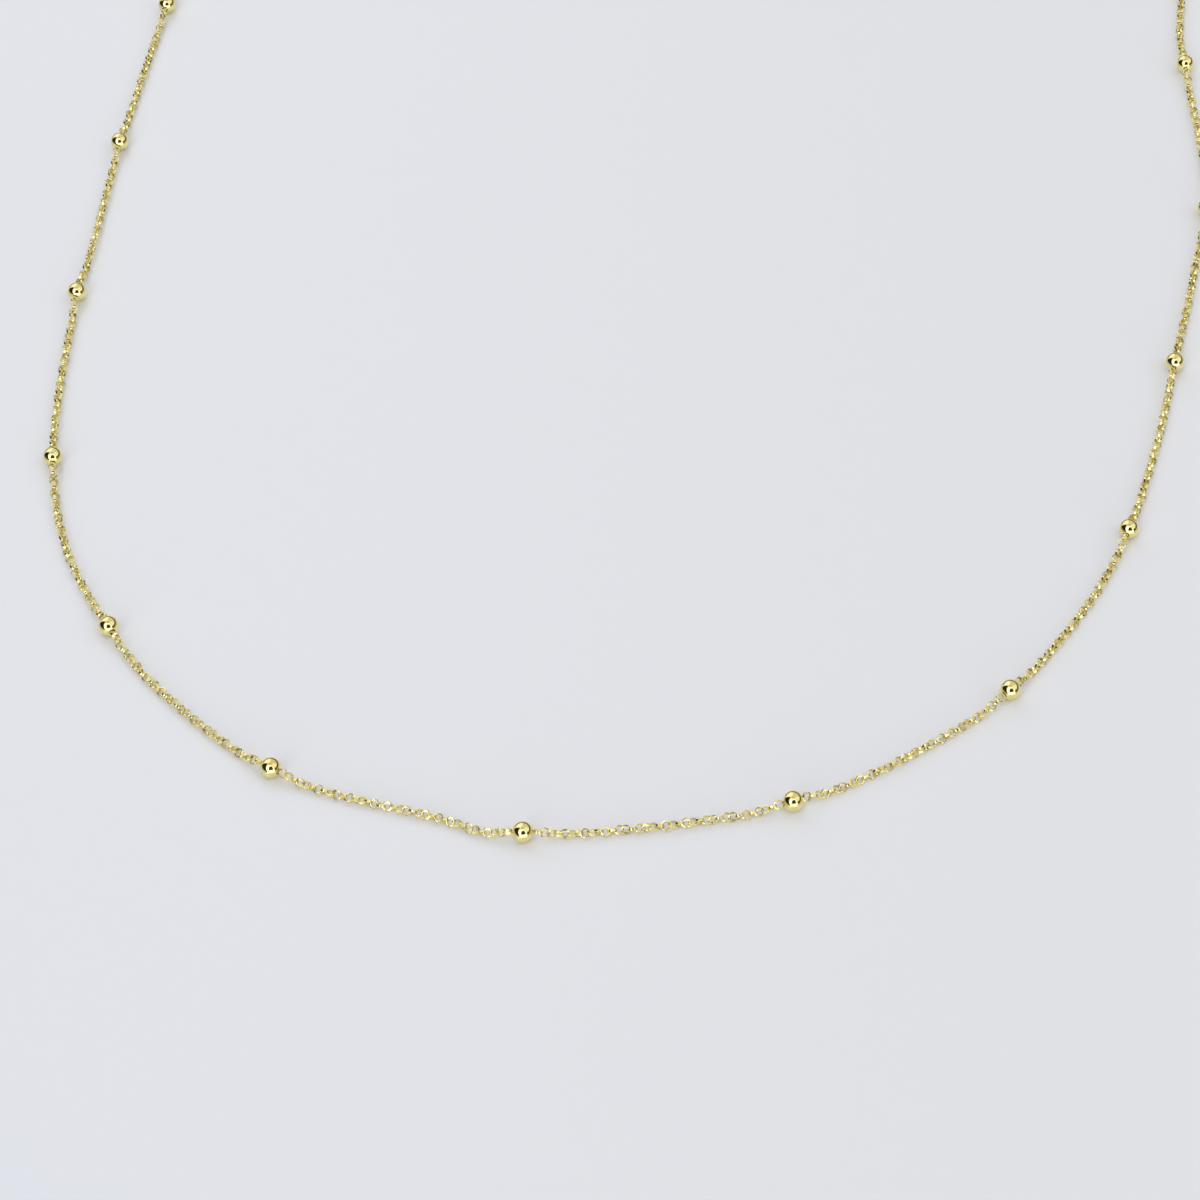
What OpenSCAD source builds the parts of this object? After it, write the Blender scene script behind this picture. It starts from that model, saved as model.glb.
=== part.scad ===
// Station necklace: a fine gold chain with a round bead every inch, laid in a loop on a flat surface.
// The origin is at the middle of the loop on the surface, +Y points to the clasp and +Z points up.

/* [Necklace] */
// Length of the whole loop, with its clasp and rings
necklace_length = 508; // [400:1:760]

/* [Chain] */
// Width of the chain, across one link
chain_width = 0.9; // [0.6:0.05:1.6]
// Length of the chain's shoulder, where it draws in to pass a bead
shoulder_length = 0.3; // [0.2:0.05:1]

/* [Beads] */
// Distance from one bead to the next along the chain
bead_spacing = 25.4; // [12:0.1:60]
// Diameter of a bead
bead_d = 2; // [1.6:0.1:4]
// Diameter of the hole drilled through a bead
bead_bore_d = 0.6; // [0.5:0.05:1]
// Clear space between the chain and a bead, all round
bead_clearance = 0.1; // [0.1:0.01:0.15]

/* [Clasp] */
// Outer diameter of the clasp's ring
clasp_d = 5.5; // [5:0.1:8]
// Thickness of the clasp's ring
clasp_wire = 1; // [0.8:0.05:1.3]
// Diameter of the thumb nub on the clasp
nub_d = 0.7; // [0.5:0.05:0.8]
// Height of the thumb nub above the clasp's ring
nub_height = 0.8; // [0.4:0.05:1.5]
// Place of the thumb nub round the clasp, from the catch ring's side
nub_angle = 105; // [80:1:130]
// Outer diameter of the eye soldered to the clasp
eye_d = 2; // [1.9:0.05:3]
// Thickness of the eye's wire
eye_wire = 0.5; // [0.4:0.05:0.5]
// Depth of the eye's wire in the clasp's ring, where it is soldered on
solder_depth = 0.4; // [0.3:0.05:0.4]

/* [Rings] */
// Outer diameter of the catch ring, which the clasp closes on
catch_ring_d = 4; // [3.8:0.1:5]
// Thickness of the catch ring's wire
catch_ring_wire = 0.5; // [0.4:0.05:0.6]
// Outer diameter of the end ring, which joins the chain to the eye
end_ring_d = 2.4; // [2.3:0.05:3]
// Thickness of the end ring's wire
end_ring_wire = 0.4; // [0.3:0.05:0.45]
// Lean of both rings from upright
ring_lean = 30; // [0:1:35]
// Distance by which the catch ring is pulled out from the clasp's ring
catch_pull = 0.15; // [0:0.05:0.15]
// Clear space between linked pieces, and between a ring and the chain's end
link_gap = 0.16; // [0.16:0.01:0.25]

/* [Hidden] */
// Route of the chain: points it passes over, from the clasp round the far left side and back
route = [
    [0, 92], [-20.5, 87.5], [-35, 78], [-48, 59.5],
    [-53.5, 46], [-56.5, 30.5], [-58.5, 17], [-60, 5.5],
    [-61.5, -10], [-62.5, -19], [-63, -38.5], [-61, -53],
    [-56, -65], [-49, -75.5], [-37.5, -86], [-23, -91.5],
    [-15.5, -94], [1, -93], [13.5, -90], [28.5, -81],
    [37, -72], [44.5, -60], [50, -45.5], [54, -31.5],
    [57.5, -19], [61, -3.5], [61.5, 21], [63, 34],
    [61, 53.5], [52, 70], [37.5, 83], [19, 90.5]
];
steps = 24;
tube_sides = 8;
heading_reach = 0.5;
gold = [0.89, 0.76, 0.42];
bright_gold = [0.94, 0.82, 0.5];

// Smooth closed curve through the route's points
function route_point(i) = route[(i + len(route)) % len(route)];
function curve_point(i, t) =
    let (a = route_point(i - 1), b = route_point(i), c = route_point(i + 1), d = route_point(i + 2))
    0.5 * (2 * b + (c - a) * t + (2 * a - 5 * b + 4 * c - d) * t ^ 2 + (3 * b - 3 * c + d - a) * t ^ 3);

curve = [for (i = [0:len(route) - 1]) for (k = [0:steps - 1]) curve_point(i, k / steps), route[0]];
curve_last = len(curve) - 1;
function step_length(i) = i > 0 && i <= curve_last ? norm(curve[i] - curve[i - 1]) : 0;
travel = [for (i = 0, s = 0; i <= curve_last; i = i + 1, s = s + step_length(i)) s];
lay_scale = necklace_length / travel[curve_last];
lay_x = [for (i = [0:curve_last]) [travel[i], curve[i][0]] * lay_scale];
lay_y = [for (i = [0:curve_last]) [travel[i], curve[i][1]] * lay_scale];

// Place and heading at a distance s along the loop, from the clasp's middle
function wrapped(s) = s - necklace_length * floor(s / necklace_length);
function place(s) = [lookup(wrapped(s), lay_x), lookup(wrapped(s), lay_y)];
function heading(s) =
    let (v = place(s + heading_reach) - place(s - heading_reach))
    atan2(v[1], v[0]);
function ahead(s, reach) = place(s) + reach * [cos(heading(s)), sin(heading(s))];

// Clasp and rings: the rings lean on the surface, the clasp lies over the catch ring's wire, and the
// end ring passes through the middle of the eye
function ring_radius(d, wire) = (d - wire) / 2;
function ring_height(d, wire) = ring_radius(d, wire) * cos(ring_lean) + wire / 2;
clasp_height = catch_ring_wire + link_gap + clasp_wire / 2;
clasp_radius = ring_radius(clasp_d, clasp_wire);
catch_ring_x = clasp_radius + catch_pull;
eye_x = clasp_d / 2 + eye_d / 2 - solder_depth;
end_ring_x = eye_x + ring_radius(end_ring_d, end_ring_wire);
chain_start = catch_ring_x + catch_ring_d / 2 + link_gap;
chain_end = end_ring_x + end_ring_d / 2 + link_gap;

// Beads: as many as fit at the spacing, the same distance from both ends
neck_d = bead_bore_d - 2 * bead_clearance;
neck_reach = bead_d / 2 + bead_clearance;
shoulder_reach = neck_reach + shoulder_length;
clasp_room = 2 * (max(chain_start, chain_end) + shoulder_reach);
bead_count = floor((necklace_length - clasp_room) / bead_spacing) + 1;
first_bead = (necklace_length - (bead_count - 1) * bead_spacing) / 2;
function bead_name(i) = str("bead_", i < 10 ? "0" : "", i);
function bead_place(i) = first_bead + (i - 1) * bead_spacing;

// Chain: one station is a place, a height, a heading and a width
function station(s, reach, z, width) =
    let (p = ahead(s, reach))
    [[p[0], p[1], z], heading(s), width];
function bead_stations(s) = [
    station(s, -shoulder_reach, bead_d / 2, chain_width),
    station(s, -neck_reach, bead_d / 2, neck_d),
    station(s, neck_reach, bead_d / 2, neck_d),
    station(s, shoulder_reach, bead_d / 2, chain_width)
];
function lying(s) = station(s, 0, chain_width / 2, chain_width);
stations = [
    station(0, chain_start, ring_height(catch_ring_d, catch_ring_wire), chain_width),
    lying((chain_start + first_bead) / 2),
    for (i = [1:bead_count]) each concat(
        bead_stations(bead_place(i)),
        i < bead_count ? [lying(bead_place(i) + bead_spacing / 2)] : []
    ),
    lying(necklace_length - (chain_end + first_bead) / 2),
    station(0, -chain_end, ring_height(end_ring_d, end_ring_wire), chain_width)
];

function tube_ring(st) = [
    for (k = [0:tube_sides - 1])
        let (turn = 360 * k / tube_sides)
        let (side = st[2] / 2 * cos(turn))
        st[0] + [-sin(st[1]) * side, cos(st[1]) * side, st[2] / 2 * sin(turn)]
];

module swept_tube(list) {
    last = len(list) - 1;
    points = [for (st = list) each tube_ring(st)];
    start_cap = [for (k = [0:tube_sides - 1]) k];
    end_cap = [for (k = [tube_sides - 1:-1:0]) last * tube_sides + k];
    walls = [
        for (j = [0:last - 1])
            for (k = [0:tube_sides - 1])
                let (a = j * tube_sides, b = a + tube_sides, next = (k + 1) % tube_sides)
                each [[a + k, b + k, b + next], [a + k, b + next, a + next]]
    ];
    polyhedron(points, concat([start_cap, end_cap], walls));
}

module round_ring(d, wire) {
    rotate_extrude($fn = 64) translate([ring_radius(d, wire), 0]) circle(d = wire, $fn = 32);
}

module leaning_ring(d, wire) {
    translate([0, 0, ring_height(d, wire)]) rotate([90 - ring_lean, 0, 0]) round_ring(d, wire);
}

// Frame of the clasp: X runs along the chain, away from the eye
module at_clasp() {
    translate([place(0)[0], place(0)[1], 0]) rotate([0, 0, heading(0)]) children();
}

module chain() {
    color(gold) swept_tube(stations);
}

module bead(i) {
    s = bead_place(i);
    color(bright_gold)
        translate([place(s)[0], place(s)[1], bead_d / 2])
            rotate([0, 90, heading(s)])
                difference() {
                    sphere(d = bead_d, $fn = 64);
                    cylinder(d = bead_bore_d, h = 2 * bead_d, center = true, $fn = 64);
                }
}

module spring_ring_clasp() {
    color(gold) at_clasp() translate([0, 0, clasp_height]) {
        round_ring(clasp_d, clasp_wire);
        translate([-eye_x, 0, 0]) round_ring(eye_d, eye_wire);
        rotate([0, 0, nub_angle]) translate([clasp_radius, 0, 0]) rotate([0, 90, 0])
            cylinder(d = nub_d, h = clasp_wire / 2 + nub_height, $fn = 32);
    }
}

module catch_ring() {
    color(gold) at_clasp() translate([catch_ring_x, 0, 0]) leaning_ring(catch_ring_d, catch_ring_wire);
}

module end_ring() {
    color(gold) at_clasp() translate([-end_ring_x, 0, 0]) leaning_ring(end_ring_d, end_ring_wire);
}

chain();
spring_ring_clasp();
catch_ring();
end_ring();
for (i = [1:bead_count]) bead(i);
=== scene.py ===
import math
import random

import bpy
import numpy as np
from mathutils import Matrix, Vector, noise


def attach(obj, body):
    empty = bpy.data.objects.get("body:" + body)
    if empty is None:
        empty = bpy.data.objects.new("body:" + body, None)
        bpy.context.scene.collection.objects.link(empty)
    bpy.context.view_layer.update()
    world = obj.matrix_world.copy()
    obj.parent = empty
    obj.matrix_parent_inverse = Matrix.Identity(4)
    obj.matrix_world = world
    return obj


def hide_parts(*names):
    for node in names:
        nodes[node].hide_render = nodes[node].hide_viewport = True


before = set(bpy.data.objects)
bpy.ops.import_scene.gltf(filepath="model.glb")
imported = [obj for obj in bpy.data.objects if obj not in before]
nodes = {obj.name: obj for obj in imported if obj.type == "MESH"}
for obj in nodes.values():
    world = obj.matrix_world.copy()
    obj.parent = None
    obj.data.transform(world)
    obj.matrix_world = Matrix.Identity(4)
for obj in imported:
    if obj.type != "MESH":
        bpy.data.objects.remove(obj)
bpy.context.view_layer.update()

mm = 0.001
tiny = 1e-7  # m, within which points count as one
beadNodes = sorted(name for name in nodes if name.startswith("bead_"))
print("frame loaded:", len(nodes), "nodes,", len(beadNodes), "beads")


# Camera

viewpoint = {
    "place": (-7.0, -300.5, 250.5),  # mm, over the table in front of the loop
    "down": 46.63,                   # degrees below level
    "roll": -1.47,
    "lens": 104.87,
    "sensor": 36.0,
    "near": 10,                      # mm, the nearest that it sees
    "far": 50000,
}


def placeCamera(v):
    data = bpy.data.cameras.new("camera")
    data.lens = v["lens"]
    data.sensor_width = v["sensor"]
    data.clip_start, data.clip_end = v["near"] * mm, v["far"] * mm
    camera = bpy.data.objects.new("camera", data)
    bpy.context.scene.collection.objects.link(camera)
    camera.location = Vector(v["place"]) * mm
    camera.rotation_mode = "ZYX"  # the roll turns first, about the line of sight
    camera.rotation_euler = (math.radians(90 - v["down"]), 0, math.radians(v["roll"]))
    bpy.context.scene.camera = camera


placeCamera(viewpoint)
bpy.context.scene.view_settings.view_transform = "Standard"
print("camera placed")


# Shader maths

class Wire:  # a socket that can be added, multiplied and so on, as a number can
    def __init__(self, board, socket):
        self.board, self.socket = board, socket

    def reckon(self, operation, first, second):
        return self.board.add("ShaderNodeMath", {"operation": operation}, {0: first, 1: second})

    def __add__(self, other):
        return self.reckon("ADD", self, other)

    def __radd__(self, other):
        return self.reckon("ADD", other, self)

    def __sub__(self, other):
        return self.reckon("SUBTRACT", self, other)

    def __rsub__(self, other):
        return self.reckon("SUBTRACT", other, self)

    def __mul__(self, other):
        return self.reckon("MULTIPLY", self, other)

    def __rmul__(self, other):
        return self.reckon("MULTIPLY", other, self)

    def __truediv__(self, other):
        return self.reckon("DIVIDE", self, other)


class Board:  # one node tree, filled node by node
    def __init__(self, tree):
        self.tree = tree
        tree.nodes.clear()

    def add(self, kind, settings=None, values=None, output=0):
        node = self.tree.nodes.new(kind)
        for name, value in (settings or {}).items():
            setattr(node, name, value)
        for name, value in (values or {}).items():
            if isinstance(value, Wire):
                self.tree.links.new(value.socket, node.inputs[name])
            else:
                node.inputs[name].default_value = value
        return Wire(self, node.outputs[output] if node.outputs else None)

    def rise(self, value, low, high):  # 0 below low, 1 above high, smooth between
        return self.add(
            "ShaderNodeMapRange",
            {"interpolation_type": "SMOOTHSTEP"},
            {"Value": value, "From Min": low, "From Max": high},
        )

    def mixColour(self, share, first, second):  # 6, 7 and 2 are the mix node's colour sockets
        return self.add("ShaderNodeMix", {"data_type": "RGBA"}, {0: share, 6: first, 7: second}, 2)


# Finishes

goldLook = {
    "colour": (0.96, 0.85, 0.395, 1),
    "warmColour": (0.95, 0.825, 0.36, 1),  # where the polish has gone a little deeper
    "beadRoughness": 0.07,
    "chainRoughness": 0.2,
    "claspRoughness": 0.1,
    "patchSize": 1.6,           # mm, of the faint colour patches
    "patchEdge": (0.4, 0.65),   # where a patch starts and where it is full
    "markWidth": 0.06,          # mm, of the polishing marks
    "markStretch": 5,           # their length, as a multiple of their width
    "markTurn": (0.3, 0.5, 0.8),
    "markDepth": 0.0006,        # mm
    "markStrength": 0.6,
    "patchShare": 0.3,          # of the patches in the roughness
    "markShare": 0.2,
}


def makeGold(name, roughness, look):
    material = bpy.data.materials.new(name)
    material.use_nodes = True
    board = Board(material.node_tree)
    place = board.add("ShaderNodeTexCoord", output="Object")
    patches = board.add(
        "ShaderNodeTexNoise", None,
        {"Vector": place, "Scale": 1 / (look["patchSize"] * mm), "Detail": 2.0},
    )
    stretch = look["markStretch"]
    streaks = board.add(
        "ShaderNodeMapping", {"vector_type": "POINT"},
        {"Vector": place, "Rotation": look["markTurn"], "Scale": (1, stretch, stretch)},
    )
    marks = board.add(
        "ShaderNodeTexNoise", None,
        {"Vector": streaks, "Scale": 1 / (look["markWidth"] * stretch * mm), "Detail": 3.0},
    )
    colour = board.mixColour(board.rise(patches, *look["patchEdge"]), look["colour"], look["warmColour"])
    uneven = patches * look["patchShare"] + marks * look["markShare"]
    polish = roughness * (1 - (look["patchShare"] + look["markShare"]) / 2 + uneven)
    bump = board.add(
        "ShaderNodeBump", None,
        {"Height": marks, "Distance": look["markDepth"] * mm, "Strength": look["markStrength"]},
    )
    shader = board.add(
        "ShaderNodeBsdfPrincipled", None,
        {"Base Color": colour, "Roughness": polish, "Metallic": 1.0, "Normal": bump},
    )
    board.add("ShaderNodeOutputMaterial", None, {"Surface": shader})
    return material


beadGold = makeGold("bead_gold", goldLook["beadRoughness"], goldLook)
chainGold = makeGold("chain_gold", goldLook["chainRoughness"], goldLook)
claspGold = makeGold("clasp_gold", goldLook["claspRoughness"], goldLook)
print("gold mixed")


# Route of the loop

loop = {
    "length": 508,  # mm round the whole loop
    "beadGap": 25.4,
    "steps": 24,
    "reach": 0.5,   # mm either way, for the heading
    "points": [     # mm, from the clasp round the far left side and back
        (0, 92), (-20.5, 87.5), (-35, 78), (-48, 59.5),
        (-53.5, 46), (-56.5, 30.5), (-58.5, 17), (-60, 5.5),
        (-61.5, -10), (-62.5, -19), (-63, -38.5), (-61, -53),
        (-56, -65), (-49, -75.5), (-37.5, -86), (-23, -91.5),
        (-15.5, -94), (1, -93), (13.5, -90), (28.5, -81),
        (37, -72), (44.5, -60), (50, -45.5), (54, -31.5),
        (57.5, -19), (61, -3.5), (61.5, 21), (63, 34),
        (61, 53.5), (52, 70), (37.5, 83), (19, 90.5),
    ],
}
routePoints = np.array(loop["points"], float)


def curvePoint(i, t):
    a, b, c, d = (routePoints[(i + k) % len(routePoints)] for k in (-1, 0, 1, 2))
    square = (2 * a - 5 * b + 4 * c - d) * t ** 2
    cube = (3 * b - 3 * c + d - a) * t ** 3
    return 0.5 * (2 * b + (c - a) * t + square + cube)


shares = [k / loop["steps"] for k in range(loop["steps"])]
curve = np.array([curvePoint(i, t) for i in range(len(routePoints)) for t in shares])
curve = np.vstack([curve, curve[:1]])
travel = np.concatenate([[0], np.cumsum(np.linalg.norm(np.diff(curve, axis=0), axis=1))])
layScale = loop["length"] / travel[-1]


def placeAt(s):  # mm, where the loop is at a distance s from the clasp's middle
    s = s % loop["length"]
    return Vector((
        np.interp(s, travel * layScale, curve[:, 0] * layScale),
        np.interp(s, travel * layScale, curve[:, 1] * layScale),
    ))


def headingAt(s):
    step = placeAt(s + loop["reach"]) - placeAt(s - loop["reach"])
    return math.atan2(step.y, step.x)


firstBead = (loop["length"] - (len(beadNodes) - 1) * loop["beadGap"]) / 2
beadPlaces = [firstBead + i * loop["beadGap"] for i in range(len(beadNodes))]


# Modelling steps

def startMesh(kind, **values):  # a fresh primitive, alone in the selection
    bpy.ops.object.select_all(action="DESELECT")
    getattr(bpy.ops.mesh, f"primitive_{kind}_add")(**values)
    bpy.ops.object.transform_apply(location=True, rotation=True, scale=True)
    return bpy.context.object


def editMesh():
    bpy.ops.object.mode_set(mode="EDIT")


def leaveMesh():
    bpy.ops.object.mode_set(mode="OBJECT")


def pick(piece, part, test):  # selects the vertices, edges or faces that pass the test, in edit mode
    editMesh()
    bpy.ops.mesh.select_mode(type={"vertices": "VERT", "edges": "EDGE", "polygons": "FACE"}[part])
    bpy.ops.mesh.select_all(action="DESELECT")
    leaveMesh()
    for item in getattr(piece.data, part):
        item.select = test(item)
    editMesh()


def edgeMiddle(piece, edge):
    a, b = (piece.data.vertices[i].co for i in edge.vertices)
    return (a + b) / 2


def mergeAndFace():  # double points become one, and the faces point outwards
    bpy.ops.mesh.select_all(action="SELECT")
    bpy.ops.mesh.remove_doubles(threshold=tiny)
    bpy.ops.mesh.normals_make_consistent(inside=False)


def smoothBy(piece, degrees):
    bpy.ops.object.select_all(action="DESELECT")
    piece.select_set(True)
    bpy.context.view_layer.objects.active = piece
    bpy.ops.object.shade_smooth_by_angle(angle=math.radians(degrees))


def copyTo(piece, name, matrix):  # the place goes into the copy's own mesh
    twin = bpy.data.objects.new(name, piece.data.copy())
    twin.data.transform(matrix)
    bpy.context.scene.collection.objects.link(twin)
    return twin


def joinAll(pieces, name):
    bpy.ops.object.select_all(action="DESELECT")
    for piece in pieces:
        piece.select_set(True)
    bpy.context.view_layer.objects.active = pieces[0]
    bpy.ops.object.join()
    joined = bpy.context.object
    joined.name = name
    return joined


def dress(piece, material, slot, *replaced):
    piece.data.materials.clear()
    piece.data.materials.append(material)
    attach(piece, "root")
    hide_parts(*replaced)


# Beads

beadShape = {
    "radius": 1.0,
    "bore": 0.3,      # radius of the drilled hole
    "rim": 0.045,     # rounding of the hole's edge
    "rimSteps": 3,
    "segments": 56,
    "rings": 32,
    "smooth": 50,     # degrees, up to which an edge is shaded smooth
}


def makeBead(b):
    ball = startMesh(
        "uv_sphere", segments=b["segments"], ring_count=b["rings"], radius=b["radius"] * mm,
        rotation=(0, math.pi / 2, 0),
    )
    mouth = math.sqrt(b["radius"] ** 2 - b["bore"] ** 2) * mm  # where the hole meets the ball
    editMesh()
    for side in (1, -1):
        bpy.ops.mesh.select_all(action="SELECT")
        bpy.ops.mesh.bisect(
            plane_co=(side * mouth, 0, 0), plane_no=(side, 0, 0), clear_outer=True, threshold=tiny,
        )
    pick(ball, "edges", lambda e: abs(abs(edgeMiddle(ball, e).x) - mouth) < tiny)
    bpy.ops.mesh.bridge_edge_loops()
    pick(ball, "edges", lambda e: abs(abs(edgeMiddle(ball, e).x) - mouth) < tiny)
    bpy.ops.mesh.bevel(offset=b["rim"] * mm, segments=b["rimSteps"], profile=0.5, clamp_overlap=False)
    mergeAndFace()
    leaveMesh()
    smoothBy(ball, b["smooth"])
    return ball


ball = makeBead(beadShape)
for name, s in zip(beadNodes, beadPlaces):
    spot = placeAt(s) * mm
    moved = Matrix.Translation((spot.x, spot.y, beadShape["radius"] * mm))
    turned = Matrix.Rotation(headingAt(s), 4, "Z")
    dress(copyTo(ball, "ball_" + name[-2:], moved @ turned), beadGold, "bead_gold", name)
bpy.data.objects.remove(ball)
print("beads made:", len(beadNodes))


# Chain

linkShape = {
    "radius": 0.485,     # to the outside
    "wall": 0.135,       # from the hole to the outside
    "width": 0.24,       # of the band, along the hole
    "rimWidth": 0.19,    # of the band at its outer edge, where its sides slope in
    "steps": 12,
    "smooth": 38,
}
layOut = {
    "seed": 7,
    "pitch": 0.64,         # mm between links
    "beadReach": 1.4,      # mm from a bead's middle to the nearest link's
    "beadFall": 3.4,       # mm over which the chain comes down from a bead to the surface
    "catchReach": 4.25,    # mm from the clasp's middle to the link on the catch ring
    "catchHeight": 1.766,  # mm, of the catch ring's middle
    "catchFall": 7.0,
    "endReach": 5.5,       # mm from the clasp's middle to the link on the end ring
    "endHeight": 1.066,
    "endFall": 4.5,
    "ringRoll": -30,       # degrees, of a link square to the leaning rings
    "rollBlend": 4.0,      # mm over which that roll fades
    "startRoll": 20,       # degrees either way, of the first link after a bead
    "wander": 480,         # degrees, of the twist that comes and goes along the chain
    "wanderLength": 6.0,   # mm
    "twist": 30,           # degrees from link to link, at most
    "jitter": 8,           # degrees, of roll from link to link
    "cant": 6,             # degrees, of a link across the chain's heading
    "sway": 0.03,          # mm sideways
    "swayFrom": 2.0,       # mm from a bead or ring, where the chain is free to sway
}


def makeLink(k):
    middle = (k["radius"] - k["wall"] / 2) * mm
    link = startMesh("plane", size=k["wall"] * mm, location=(middle, 0, 0), rotation=(math.pi / 2, 0, 0))
    editMesh()
    bpy.ops.mesh.select_all(action="SELECT")
    bpy.ops.transform.resize(value=(1, 1, k["width"] / k["wall"]), center_override=(0, 0, 0))
    pick(link, "edges", lambda e: abs(edgeMiddle(link, e).z) > k["width"] / 4 * mm)
    bpy.ops.mesh.subdivide(number_cuts=1)
    pick(link, "vertices", lambda v: v.co.x > middle + tiny)
    bpy.ops.transform.resize(value=(1, 1, k["rimWidth"] / k["width"]), center_override=(0, 0, 0))
    bpy.ops.mesh.select_all(action="SELECT")
    bpy.ops.mesh.delete(type="ONLY_FACE")
    bpy.ops.mesh.select_all(action="SELECT")
    bpy.ops.mesh.spin(steps=k["steps"], angle=2 * math.pi, center=(0, 0, 0), axis=(0, 0, 1))
    mergeAndFace()
    leaveMesh()
    smoothBy(link, k["smooth"])
    return link


def restHeight(roll):  # mm, from a rolled link's middle to its lowest point
    return linkShape["radius"] * abs(math.sin(roll)) + linkShape["width"] / 2 * abs(math.cos(roll))


def wander(s):
    spot = Vector((s / layOut["wanderLength"], 0.37, 5.1))  # a line through the noise
    return math.radians(layOut["wander"]) * noise.noise(spot)


def halfTurn(angle):  # a link turned by 180 degrees looks the same
    return (angle + math.pi / 2) % math.pi - math.pi / 2


def rollLinks(places, atCatch, atEnd):  # each link lies a quarter turn and a bit from the one before
    most = math.radians(layOut["twist"])
    rolls = [math.radians(draw.choice((45, -45)) + draw.uniform(-1, 1) * layOut["startRoll"])]
    for before, s in zip(places, places[1:]):
        twist = max(-most, min(most, wander(s) - wander(before)))
        rolls.append(rolls[-1] + math.pi / 2 + twist)
    for held, which in ((atCatch, 0), (atEnd, -1)):
        if held:
            off = halfTurn(math.radians(layOut["ringRoll"]) - rolls[which])
            fades = [math.exp(-abs(s - places[which]) / layOut["rollBlend"]) for s in places]
            rolls = [r + off * fade for r, fade in zip(rolls, fades)]
    return [r + math.radians(draw.uniform(-1, 1) * layOut["jitter"]) for r in rolls]


def fallFrom(far, height, low, fall):  # the chain's height as it comes down from a bead or ring
    share = max(0.0, 1 - max(0.0, far) / fall)
    return low + (height - low) * share ** 2


def layStretch(start, end, atCatch, atEnd):  # places the links from one bead or ring to the next
    count = math.ceil((end - start) / layOut["pitch"]) + 1
    places = [start + (end - start) * i / (count - 1) for i in range(count)]
    rolls = rollLinks(places, atCatch, atEnd)
    rests = [restHeight(r) for r in rolls]
    atBead = (beadShape["radius"], layOut["beadFall"])
    startTop, startFall = (layOut["catchHeight"], layOut["catchFall"]) if atCatch else atBead
    endTop, endFall = (layOut["endHeight"], layOut["endFall"]) if atEnd else atBead
    heights = []
    for i, s in enumerate(places):
        low = max(rests[max(0, i - 1):i + 2])
        fromStart = fallFrom(s - start, startTop, low, startFall)
        fromEnd = fallFrom(end - s, endTop, low, endFall)
        heights.append(max(fromStart, fromEnd))
    for i, s in enumerate(places):
        spot, heading = placeAt(s), headingAt(s)
        free = min(1.0, (s - start) / layOut["swayFrom"], (end - s) / layOut["swayFrom"])
        sway = draw.uniform(-1, 1) * layOut["sway"] * free
        before, after = max(0, i - 1), min(count - 1, i + 1)
        slope = math.atan2(heights[after] - heights[before], places[after] - places[before])
        cant = math.radians(draw.uniform(-1, 1) * layOut["cant"])
        side = Vector((-math.sin(heading), math.cos(heading))) * sway
        linkSpots.append(((spot.x + side.x) * mm, (spot.y + side.y) * mm, heights[i] * mm))
        linkTurns.append((rolls[i], -slope, heading + cant))


draw = random.Random(layOut["seed"])
linkSpots, linkTurns = [], []
stops = [layOut["catchReach"]] + beadPlaces + [loop["length"] - layOut["endReach"]]
lastStretch = len(stops) - 2
for n in range(lastStretch + 1):
    atCatch, atEnd = n == 0, n == lastStretch
    start = stops[n] + (0 if atCatch else layOut["beadReach"])
    end = stops[n + 1] - (0 if atEnd else layOut["beadReach"])
    layStretch(start, end, atCatch, atEnd)


def copyAlong(piece, name, spots, turns):  # geometry nodes put a real copy at each spot
    mesh = bpy.data.meshes.new(name)
    mesh.from_pydata(spots, [], [])
    turn = mesh.attributes.new("turn", "FLOAT_VECTOR", "POINT")
    turn.data.foreach_set("vector", np.array(turns, np.float32).ravel())
    holder = bpy.data.objects.new(name, mesh)
    bpy.context.scene.collection.objects.link(holder)
    group = bpy.data.node_groups.new(name + "_copies", "GeometryNodeTree")
    group.interface.new_socket("Geometry", in_out="INPUT", socket_type="NodeSocketGeometry")
    group.interface.new_socket("Geometry", in_out="OUTPUT", socket_type="NodeSocketGeometry")
    board = Board(group)
    points = board.add("NodeGroupInput")
    shape = board.add("GeometryNodeObjectInfo", None, {"Object": piece}, "Geometry")
    angles = board.add(
        "GeometryNodeInputNamedAttribute", {"data_type": "FLOAT_VECTOR"},
        {"Name": "turn"},
    )
    rotation = board.add("FunctionNodeEulerToRotation", None, {"Euler": angles})
    copies = board.add(
        "GeometryNodeInstanceOnPoints", None,
        {"Points": points, "Instance": shape, "Rotation": rotation},
    )
    real = board.add("GeometryNodeRealizeInstances", None, {"Geometry": copies})
    board.add("NodeGroupOutput", None, {0: real})
    bpy.ops.object.select_all(action="DESELECT")
    holder.select_set(True)
    bpy.context.view_layer.objects.active = holder
    copying = holder.modifiers.new("copies", "NODES")
    copying.node_group = group
    bpy.ops.object.modifier_apply(modifier=copying.name)
    return holder


pinShape = {
    "radius": 0.16,
    "reach": 1.0,      # mm from the bead's middle to the pin's end, in the nearest link's wall
    "head": 0.2,       # radius of the solder at each end
    "headLength": 0.12,
    "tip": 0.6,        # of the solder's end, as a share of its middle
    "sides": 12,
    "smooth": 60,
}


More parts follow.
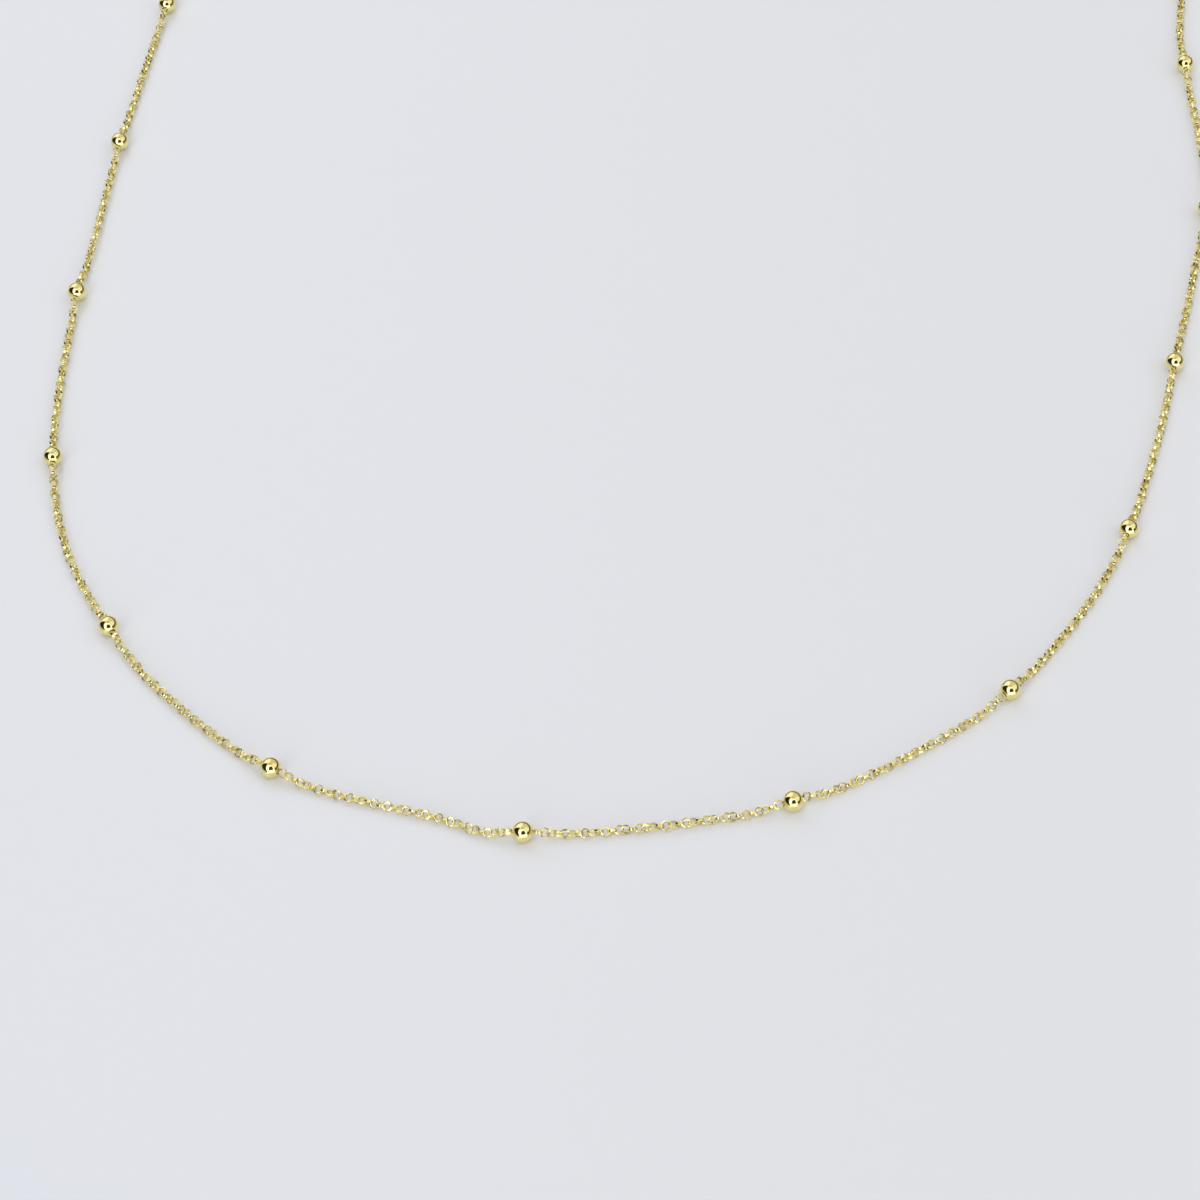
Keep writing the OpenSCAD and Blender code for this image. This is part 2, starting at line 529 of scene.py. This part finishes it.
def makePin(p):
    pin = startMesh(
        "cylinder", vertices=p["sides"], radius=p["radius"] * mm,
        depth=2 * (p["reach"] - p["headLength"]) * mm, rotation=(0, math.pi / 2, 0),
    )
    for side in (1, -1):
        pick(pin, "polygons", lambda f: f.normal.x * side > 0.9)
        for swell in (p["head"] / p["radius"], p["tip"]):
            step = (side * p["headLength"] / 2 * mm, 0, 0)
            bpy.ops.mesh.extrude_region_move(TRANSFORM_OT_translate={"value": step})
            bpy.ops.transform.resize(value=(1, swell, swell), center_override=(0, 0, 0))
    mergeAndFace()
    leaveMesh()
    smoothBy(pin, p["smooth"])
    return pin


link = makeLink(linkShape)
pin = makePin(pinShape)
beadSpots = [tuple(placeAt(s) * mm) + (beadShape["radius"] * mm,) for s in beadPlaces]
beadTurns = [(0, 0, headingAt(s)) for s in beadPlaces]
links = copyAlong(link, "links", linkSpots, linkTurns)
pins = copyAlong(pin, "pins", beadSpots, beadTurns)
chain = joinAll([links, pins], "chain_links")
bpy.data.objects.remove(link)
bpy.data.objects.remove(pin)
dress(chain, chainGold, "chain_gold", "chain")
print("chain laid:", len(linkSpots), "links,", len(chain.data.polygons), "faces")


# Clasp and rings

claspShape = {
    "radius": 2.25,      # to the middle of the wire
    "wire": 0.5,         # radius of the tube
    "height": 1.16,
    "nubAngle": 105,
    "nubRadius": 0.35,
    "nubReach": 1.3,     # mm from the middle of the wire to the nub's top
    "nubRound": 0.14,
    "nubSteps": 4,       # in that rounding
    "nubSmooth": 50,
    "eyeAt": -3.35,
    "eyeRadius": 0.75,
    "eyeWire": 0.25,
    "eyeSteps": 40,
    "eyeSides": 14,
    "steps": 64,
    "sides": 20,
}
ringShape = {
    "catchAt": 2.4,
    "catchRadius": 1.75,
    "catchWire": 0.25,
    "endAt": -4.35,
    "endRadius": 1.0,
    "endWire": 0.2,
    "lean": 60,          # degrees from lying flat
    "steps": 56,
    "sides": 16,
}
claspPlace = Matrix.Translation(placeAt(0).to_3d() * mm) @ Matrix.Rotation(headingAt(0), 4, "Z")


def makeRing(radius, wire, steps, sides):  # lies flat, round the origin
    ring = startMesh(
        "circle", vertices=sides, radius=wire * mm,
        location=(radius * mm, 0, 0), rotation=(math.pi / 2, 0, 0),
    )
    editMesh()
    bpy.ops.mesh.select_all(action="SELECT")
    bpy.ops.mesh.spin(steps=steps, angle=2 * math.pi, center=(0, 0, 0), axis=(0, 0, 1))
    mergeAndFace()
    leaveMesh()
    smoothBy(ring, 60)
    return ring


def makeNub(c):
    nub = startMesh(
        "cylinder", vertices=c["sides"], radius=c["nubRadius"] * mm, depth=c["nubReach"] * mm,
        location=((c["radius"] + c["nubReach"] / 2) * mm, 0, 0), rotation=(0, math.pi / 2, 0),
    )
    top = (c["radius"] + c["nubReach"]) * mm
    pick(nub, "edges", lambda e: edgeMiddle(nub, e).x > top - tiny)
    bpy.ops.mesh.bevel(offset=c["nubRound"] * mm, segments=c["nubSteps"], profile=0.5)
    mergeAndFace()
    leaveMesh()
    smoothBy(nub, c["nubSmooth"])
    nub.data.transform(Matrix.Rotation(math.radians(c["nubAngle"]), 4, "Z"))
    return nub


def makeClasp(c):
    ring = makeRing(c["radius"], c["wire"], c["steps"], c["sides"])
    eye = makeRing(c["eyeRadius"], c["eyeWire"], c["eyeSteps"], c["eyeSides"])
    eye.data.transform(Matrix.Translation((c["eyeAt"] * mm, 0, 0)))
    clasp = joinAll([ring, eye, makeNub(c)], "spring_ring")
    clasp.data.transform(claspPlace @ Matrix.Translation((0, 0, c["height"] * mm)))
    return clasp


def makeJumpRing(r, end):
    ring = makeRing(r[end + "Radius"], r[end + "Wire"], r["steps"], r["sides"])
    leaned = Matrix.Rotation(math.radians(r["lean"]), 4, "X")
    lifted = Matrix.Translation((r[end + "At"] * mm, 0, layOut[end + "Height"] * mm))
    ring.data.transform(claspPlace @ lifted @ leaned)
    ring.name = end + "_jump_ring"
    return ring


dress(makeClasp(claspShape), claspGold, "clasp_gold", "spring_ring_clasp")
dress(makeJumpRing(ringShape, "catch"), claspGold, "clasp_gold", "catch_ring")
dress(makeJumpRing(ringShape, "end"), claspGold, "clasp_gold", "end_ring")
print("clasp and rings made")


# Surface and light

tableLook = {
    "size": 12.0,                          # m
    "colour": (0.953, 0.954, 0.982, 1),
    "paintedCoolLightColour": (0.918, 0.952, 1.0, 1),  # painted cooler, slightly dimmer light, towards the near left corner
    "paintedCoolLightFrom": (-20, -120),               # mm, where the painted cooler light starts
    "paintedCoolLightTo": (-70, -170),                 # mm, where it is full
    "roughness": 0.2,
    "gloss": 0.5,
}


def makeTable(look):
    table = startMesh("plane", size=look["size"])
    table.name = "table_top"
    material = bpy.data.materials.new("table_white")
    material.use_nodes = True
    board = Board(material.node_tree)
    place = board.add("ShaderNodeTexCoord", output="Object")
    start, end = Vector(look["paintedCoolLightFrom"] + (0,)) * mm, Vector(look["paintedCoolLightTo"] + (0,)) * mm
    way = end - start
    along = board.add("ShaderNodeVectorMath", {"operation": "DOT_PRODUCT"}, {0: place, 1: way}, "Value")
    # painted cooler light: the table's colour turns bluer and a little darker towards the near left
    # corner
    paintedCoolLight = board.rise(along, start.dot(way), end.dot(way))
    surface = board.add(
        "ShaderNodeBsdfPrincipled", None,
        {
            "Base Color": board.mixColour(paintedCoolLight, look["colour"], look["paintedCoolLightColour"]),
            "Roughness": look["roughness"],
            "Specular IOR Level": look["gloss"],
        },
    )
    board.add("ShaderNodeOutputMaterial", None, {"Surface": surface})
    table.data.materials.append(material)


makeTable(tableLook)

# A panel of the studio stands so many degrees round from the camera's side, positive to the left. It
# reaches half its width either way, from low to high, with soft edges, and may lean or narrow towards
# its top. A later panel covers an earlier one.
daylight = (0.97, 0.99, 1.05)
warmWall = (1.0, 0.97, 0.84)
wood = (1.0, 0.86, 0.32)
studio = {
    "sky": 0.94,                     # wherever there is no panel
    "seen": (0.74, 0.745, 0.78, 1),  # by the camera, beyond the table
    "panels": {
        "overhead": {
            "light": 0.58, "tint": warmWall, "at": 0, "half": 190, "low": 70, "high": 95, "soft": 8,
        },
        "far wall": {
            "light": 0.67, "tint": warmWall, "at": -150, "half": 40, "low": 22, "high": 66, "soft": 12,
        },
        "skirting": {
            "light": 0.12, "tint": wood, "at": -140, "half": 92, "low": -5, "high": 20, "soft": 4,
        },
        "right lobe": {"light": 1.0, "at": -91, "half": 20, "low": 26, "high": 60, "soft": 10},
        "left lobe": {"light": 1.13, "at": 148, "half": 33, "low": 14, "high": 66, "soft": 10},
        "window": {"light": 2.25, "at": 0, "half": 48, "low": -5, "high": 71, "soft": 10, "lean": 0.1},
        "dark wall": {
            "light": 0.022, "at": 72, "half": 48, "low": -5, "high": 64, "soft": 5,
            "lean": 0.44, "narrow": 0.56,
        },
        "dark spot": {"light": 0.04, "at": -10, "half": 29, "low": 18, "high": 62, "soft": 6},
        "dark box": {
            "light": 0.07, "tint": wood, "at": -62, "half": 11, "low": 2, "high": 24, "soft": 5,
        },
    },
}


def lightStudio(s):
    world = bpy.data.worlds.new("studio")
    world.use_nodes = True
    bpy.context.scene.world = world
    board = Board(world.node_tree)
    direction = board.add("ShaderNodeTexCoord", output="Generated")
    split = board.add("ShaderNodeSeparateXYZ", None, {0: direction})
    x, y, z = (Wire(board, output) for output in split.socket.node.outputs)
    turn = board.add("ShaderNodeMath", {"operation": "ARCTAN2"}, {0: x * -1, 1: y * -1})
    rise = board.add("ShaderNodeMath", {"operation": "ARCSINE"}, {0: z})
    side, up = turn * math.degrees(1), rise * math.degrees(1)
    light = tuple(s["sky"] * c for c in daylight) + (1,)
    for p in s["panels"].values():
        soft = p["soft"]
        middle = up * p.get("lean", 0) + p["at"]
        offset = board.add("ShaderNodeMath", {"operation": "WRAP"}, {0: side - middle, 1: 180, 2: -180})
        away = board.add("ShaderNodeMath", {"operation": "ABSOLUTE"}, {0: offset})
        away = away + up * p.get("narrow", 0)
        mask = 1 - board.rise(away, p["half"] - soft, p["half"] + soft)
        mask = mask * board.rise(up, p["low"] - soft, p["low"] + soft)
        mask = mask * (1 - board.rise(up, p["high"] - soft, p["high"] + soft))
        own = tuple(p["light"] * c for c in p.get("tint", daylight)) + (1,)
        light = board.mixColour(mask, light, own)
    glow = board.add("ShaderNodeBackground", None, {"Color": light})
    plain = board.add("ShaderNodeBackground", None, {"Color": s["seen"]})
    seen = board.add("ShaderNodeLightPath", output="Is Camera Ray")
    mixed = board.add("ShaderNodeMixShader", None, {0: seen, 1: glow, 2: plain})
    board.add("ShaderNodeOutputWorld", None, {"Surface": mixed})


lightStudio(studio)
print("studio lit")
